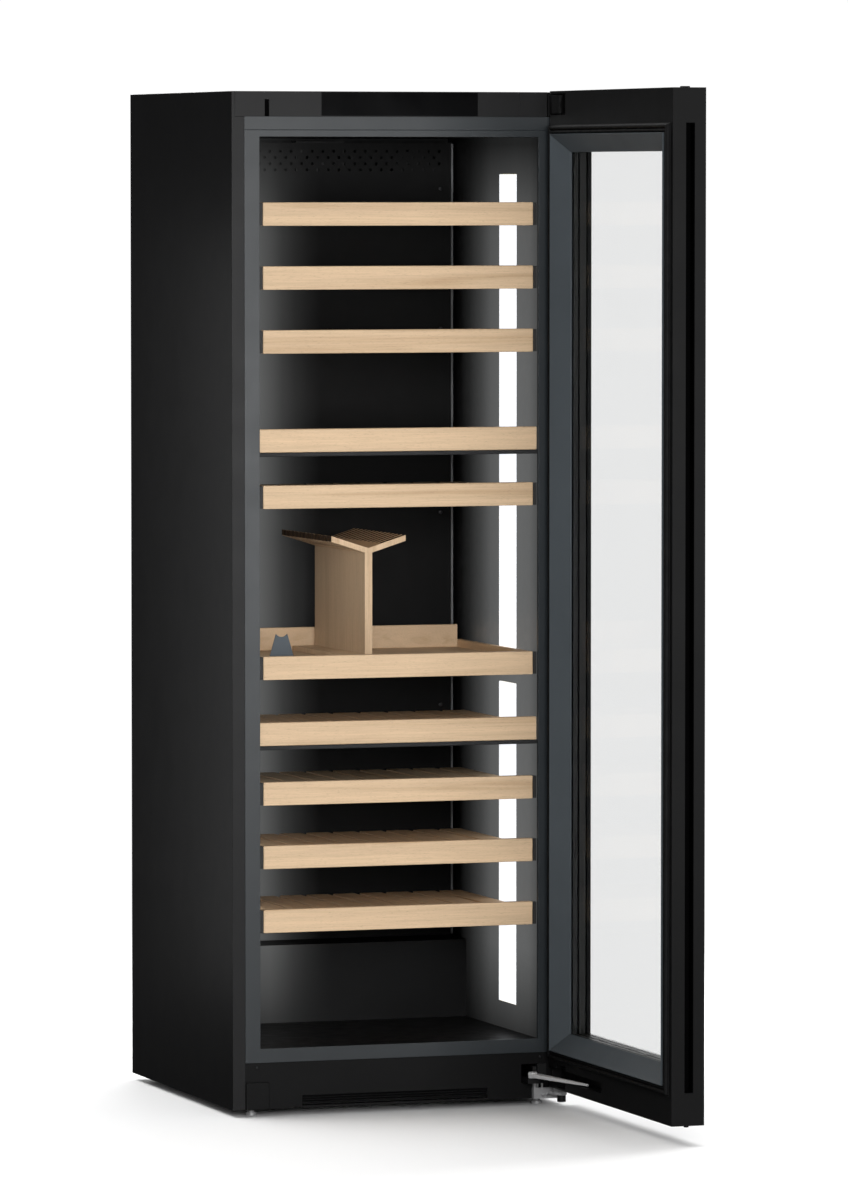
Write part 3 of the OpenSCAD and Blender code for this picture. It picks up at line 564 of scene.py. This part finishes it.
for i in SHELVES:
    a, b = ((corner - ORIGIN) * MM_PER_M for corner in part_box(f"shelf_{i}"))
    body = BODY_OF[f"shelf_{i}"]
    if i == TRAY_SHELF:
        board_top = a.z + TRAY_BOARD_H
        build("shelf_6_tray", tray(a, b, board_top), body, "beech", "beech_y", bevel=1.0)
    else:
        board_top = b.z
        slat_top = board_top - SLAT_DROP
        build(f"shelf_{i}_slats", slats(a, b, slat_top), body, "beech", "beech_y", bevel=1.6)
        build(f"shelf_{i}_cross_bars", cross_bars(a, b, slat_top - SLAT_T),
              body, "beech", "beech_x", bevel=1.2)
    board = build(f"shelf_{i}_board", [bar((a.x, a.y, a.z), (b.x, a.y + BOARD_T, board_top))],
                  body, "beech", "beech_x", bevel=1.8, segments=3)
    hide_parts(f"shelf_{i}")

# ---- Second finishes on parts of a node ------------------------------------

WING_LOW, RACK_X, RACK_POST_HW, RACK_SPINE_HW = 1112, -34, 9, 27
RACK_SLOTS_Y = (97, 419)
PANEL_FRONT_Y = 5
FASCIA_SLOT_X, FASCIA_SLOT_Y = (-284, -273), (0.6, 3)


def repaint(obj, material, wanted):
    """A second finish on the faces that wanted(centre in cabinet millimetres, normal) picks."""
    obj.data.materials.append(MATERIALS[material])
    for face in obj.data.polygons:
        if wanted((face.center - ORIGIN) * MM_PER_M, face.normal):
            face.material_index = len(obj.data.materials) - 1


# Faces of the rack's slot walls, which get painted shade
def in_slot_painted_shade(c, n):
    beside_spine = c.z > WING_LOW and abs(c.x - RACK_X) > RACK_SPINE_HW
    return beside_spine and RACK_SLOTS_Y[0] < c.y < RACK_SLOTS_Y[1] and abs(n.z) < 0.6


repaint(skins["glass_rack"], "beech_y", lambda c, n: c.z > WING_LOW and abs(c.x - RACK_X) > RACK_POST_HW)
# The rack's slot walls: painted shade
repaint(skins["glass_rack"], "beech_painted_shade", in_slot_painted_shade)
# The front faces of the side panels take the lighter fascia paint: a painted lighter face, the same black paint
# catching more light there
for side in ("left", "right"):
    repaint(skins[f"{side}_side_panel"], "fascia_black", lambda c, n: n.y < -0.5 and c.y < PANEL_FRONT_Y)
# The fascia slot: painted shade in the recess
repaint(skins["top_fascia"], "groove", lambda c, n: FASCIA_SLOT_X[0] < c.x < FASCIA_SLOT_X[1]
        and FASCIA_SLOT_Y[0] < c.y < FASCIA_SLOT_Y[1])

# ---- Small parts, in cabinet millimetres -----------------------------------

# Door seal: a foot in the door, a round bead against the cabinet and a thin lip beside it
GASKET_HW, GASKET_LOW, GASKET_HIGH = 337.3, 97, 1978
GASKET_PROFILE = (
    (0, -12), (0, -9.2), (1.6, -8.2), (2.0, -5.0), (3.6, -2.8), (6.2, -2.0), (8.4, -3.0), (9.4, -5.6),
    (10.2, -7.6), (11.2, -5.6), (12.8, -3.8), (14.8, -3.6), (16.2, -5.2), (16.8, -8.6), (18, -9.6), (18, -12))
gasket = build("door_seal", [ring_sweep(GASKET_HW, GASKET_LOW, GASKET_HIGH, GASKET_PROFILE)],
               "door", "gasket", "gasket", bevel=0.35, where=on_door)
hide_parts("door_gasket")

# Trims and screws of the duct cover
for side, name in ((-1, "left"), (1, "right")):
    x0, x1 = sorted((side * 284, side * 288.5))
    build(f"duct_edge_{name}", [bar((x0, 505.5, 302), (x1, 510, 1943))],
          "cabinet", "liner", "trim", bevel=1.2)
build("duct_screws", [screw("y", (x, 510, z), -1, 4.2, 1.8)
                      for x in (-262, 262) for z in (345, 780, 1180, 1560, 1850)],
      "cabinet", "black_plastic", "dark_screw", bevel=0.2)

# Upper hinge: screws, a shim under its block, cheeks beside its arm, and the end of its pocket in the door
build("upper_hinge_screws", [screw("y", (x, -2, 1999), -1, 3.4, 1.4) for x in (319, 337)],
      "cabinet", "black_enamel", "hinge_black", bevel=0.2)
build("hinge_shim", [bar((312.4, -1.4, 1994.3), (343.8, 3.6, 1996.6))],
      "cabinet", "black_enamel", "hinge_black", bevel=0.2)
build("hinge_pocket_end", [bar((251.4, -47, 1997.6), (261, -12.4, 2041.6))],
      "door", SLOT_OF["door_frame"], "hinge_black", bevel=0.2, where=on_door)
build("fascia_rib", [bar((-272.5, -0.7, 1996), (-265.5, 0, 2026))],
      "cabinet", "black_steel", "fascia_black", bevel=0.3)
build("upper_hinge_cheeks", [
    bar((321, -18, 2033), (339, -1, 2038.4)),
    bar((321, -18, 2000.6), (339, -1, 2006)),
    turned("y", (330, 0, 2019.5), ((-43.8, 6.5), (-43.6, 7.5), (-43.0, 7.5), (-43.0, 4)), 24),
], "cabinet", "black_enamel", "hinge_black", bevel=0.8)

# Lower hinge and closer: screws, the cap on the pin, and the boss of the arm
build("lower_hinge_screws", [screw("y", (x, -5, 21.5), -1, 3.6, 1.6) for x in (303, 313)],
      "cabinet", "satin_steel", "screw", bevel=0.2)
build("hinge_pin_cap", [turned("z", (337, -22, 0), (
    (7.4, 5.5), (8.2, 7.8), (9.6, 8.9), (20.5, 8.9), (22.2, 8.2), (23.6, 6.8)))],
    "cabinet", "black_plastic", "black_plastic", bevel=0.3)
build("closer_boss", [
    turned("z", (276, -20, 0), (
        (58.3, 8.4), (59, 9.4), (69.4, 9.4), (70.4, 8.6), (70.4, 5.0), (69.6, 4.6), (69.6, 1.0))),
    turned("z", (279.2, -31.5, 0), ((68, 2.4), (70.2, 2.4), (70.8, 1.6)), 20),
], "closer_arm", "satin_steel", "arm_steel", bevel=0.3)
build("plinth_screws", [screw("y", (x, 2, 98), -1, 3.2, 1.2) for x in (-300, 300)],
      "cabinet", "black_steel", "dark_screw", bevel=0.2)

# Stiffening beads pressed into the rear panel
BEAD_Y = (651.4, 653.6)
build("rear_panel_beads", [bar((x - 7, BEAD_Y[0], 340), (x + 7, BEAD_Y[1], 1900)) for x in (-330, 330)]
      + [bar((-250, BEAD_Y[0], z - 9), (250, BEAD_Y[1], z + 9)) for z in (1905, 1960)],
      "cabinet", "zinc_steel", "zinc_steel", bevel=1.4, segments=3)

# Pipes and drier between compressor and condenser
PIPE_R, PIPE_SIDES = 3, 16
build("discharge_pipe", [
    tube(((-52, 585, 186), (-52, 586, 200), (-54, 600, 214), (-58, 632, 228), (-64, 660, 240),
          (-78, 668, 256), (-104, 669, 268), (-140, 669, 272)), PIPE_R, PIPE_SIDES),
    tube(((-232, 669, 272), (-262, 669, 276), (-282, 669, 290), (-290, 668, 306),
          (-288, 668, 317), (-276, 668, 320)), PIPE_R, PIPE_SIDES),
], "cabinet", "black_enamel", "copper")
build("filter_drier", [turned("x", (0, 669, 272), (
    (-238, 3.2), (-226, 4.4), (-218, 9.5), (-160, 9.5), (-152, 4.4), (-138, 3.2)))],
    "cabinet", "black_enamel", "copper", bevel=0.4)
build("rear_cover_screws", [screw("y", (x, 692, z), 1) for x in (-322, 0, 322) for z in (58, 238)],
      "cabinet", "zinc_steel", "screw", bevel=0.2)

# ---- Stage -----------------------------------------------------------------

FLOOR_SOLID_M, FLOOR_FADED_M = 1.5, 4.2
AMBIENT, BACKDROP, MIRRORED = 0.45, 1.02, 0.03


def floor_material():
    """Matt white that fades into the backdrop away from the object."""
    mat = bpy.data.materials.new("studio_floor")
    mat.use_nodes = True
    tree = mat.node_tree
    bsdf = tree.nodes["Principled BSDF"]
    bsdf.inputs["Base Color"].default_value = (0.86, 0.86, 0.86, 1)
    bsdf.inputs["Roughness"].default_value = 0.9
    bsdf.inputs["Specular IOR Level"].default_value = 0.1
    clear = tree.nodes.new("ShaderNodeBsdfTransparent")
    mixer = tree.nodes.new("ShaderNodeMixShader")
    coords = tree.nodes.new("ShaderNodeTexCoord")
    length = tree.nodes.new("ShaderNodeVectorMath")
    length.operation = "LENGTH"
    fade = tree.nodes.new("ShaderNodeMapRange")
    fade.interpolation_type = "SMOOTHSTEP"
    fade.inputs["From Min"].default_value = FLOOR_SOLID_M
    fade.inputs["From Max"].default_value = FLOOR_FADED_M
    tree.links.new(coords.outputs["Object"], length.inputs[0])
    tree.links.new(length.outputs["Value"], fade.inputs["Value"])
    tree.links.new(fade.outputs["Result"], mixer.inputs["Fac"])
    tree.links.new(bsdf.outputs["BSDF"], mixer.inputs[1])
    tree.links.new(clear.outputs["BSDF"], mixer.inputs[2])
    tree.links.new(mixer.outputs["Shader"], tree.nodes["Material Output"].inputs["Surface"])
    return mat


def studio_world():
    """White light all round: the backdrop where it is seen straight or through the glass, a dim one in
    reflections, and an ambient one for everything else."""
    world = bpy.data.worlds.new("studio")
    world.use_nodes = True
    tree = world.node_tree
    rays = tree.nodes.new("ShaderNodeLightPath")

    def background(node, strength):
        node.inputs["Color"].default_value = (1, 1, 1, 1)
        node.inputs["Strength"].default_value = strength
        return node.outputs["Background"]

    def math_node(operation, a, b):
        node = tree.nodes.new("ShaderNodeMath")
        node.operation = operation
        node.use_clamp = True
        tree.links.new(a, node.inputs[0])
        tree.links.new(b, node.inputs[1])
        return node.outputs[0]

    def choose(fac, off, on):
        node = tree.nodes.new("ShaderNodeMixShader")
        tree.links.new(fac, node.inputs["Fac"])
        tree.links.new(off, node.inputs[1])
        tree.links.new(on, node.inputs[2])
        return node.outputs["Shader"]

    ambient = background(tree.nodes["Background"], AMBIENT)
    backdrop = background(tree.nodes.new("ShaderNodeBackground"), BACKDROP)
    mirrored = background(tree.nodes.new("ShaderNodeBackground"), MIRRORED)
    seen = math_node("MAXIMUM", rays.outputs["Is Camera Ray"], rays.outputs["Is Transmission Ray"])
    bounced = math_node("SUBTRACT", rays.outputs["Is Glossy Ray"], seen)
    shown = choose(bounced, choose(seen, ambient, backdrop), mirrored)
    tree.links.new(shown, tree.nodes["World Output"].inputs["Surface"])
    return world


def softbox(name, place_m, target_m, width, height, power, spread=180):
    """A rectangular lamp, sizes in metres, that lights the object and isn't seen itself."""
    light = bpy.data.lights.new(name, "AREA")
    light.shape = "RECTANGLE"
    light.size, light.size_y, light.energy = width, height, power
    light.spread = math.radians(spread)
    obj = bpy.data.objects.new(name, light)
    bpy.context.scene.collection.objects.link(obj)
    obj.location = place_m
    obj.visible_camera = obj.visible_transmission = False
    obj.rotation_euler = (Vector(target_m) - Vector(place_m)).to_track_quat("-Z", "Y").to_euler()


floor_mesh = bpy.data.meshes.new("studio_floor")
bm = bmesh.new()
bmesh.ops.create_circle(bm, cap_ends=True, radius=FLOOR_FADED_M + 0.2, segments=96)
bm.to_mesh(floor_mesh)
bm.free()
floor = bpy.data.objects.new("studio_floor", floor_mesh)
bpy.context.scene.collection.objects.link(floor)
floor_mesh.materials.append(floor_material())
floor.visible_glossy = floor.visible_transmission = False

bpy.context.scene.world = studio_world()

softbox("key_light", (-1.2, -6.3, 1.9), (0, 0, 1.45), 2.5, 1.8, 38, spread=75)
softbox("top_light", (0.3, 1.25, 4.6), (0.3, 0.9, 0), 9.0, 2.4, 430)
softbox("fill_light", (1.7, -7.0, 1.15), (0, 0, 1.2), 2.0, 1.5, 70)
softbox("back_light", (2.2, 6.5, 2.4), (0, 0.6, 1.0), 2.5, 2.0, 130)
softbox("right_light", (4.6, 1.4, 2.2), (0.7, -0.1, 0.6), 2.0, 2.0, 80)
softbox("side_light", (-1.3, 1.9, 0.9), (-0.37, -0.3, 1.0), 0.3, 1.7, 2.0)

camera_data = bpy.data.cameras.new("camera")
camera_data.lens = 230.25
camera_data.sensor_width = 36
camera_data.clip_end = 200
camera = bpy.data.objects.new("camera", camera_data)
bpy.context.scene.collection.objects.link(camera)
camera.location = (-4.9463, -14.5238, 1.8668)
camera.rotation_euler = (math.radians(86.872), 0, math.radians(-18.926))
bpy.context.scene.camera = camera
bpy.context.scene.view_settings.view_transform = "Standard"
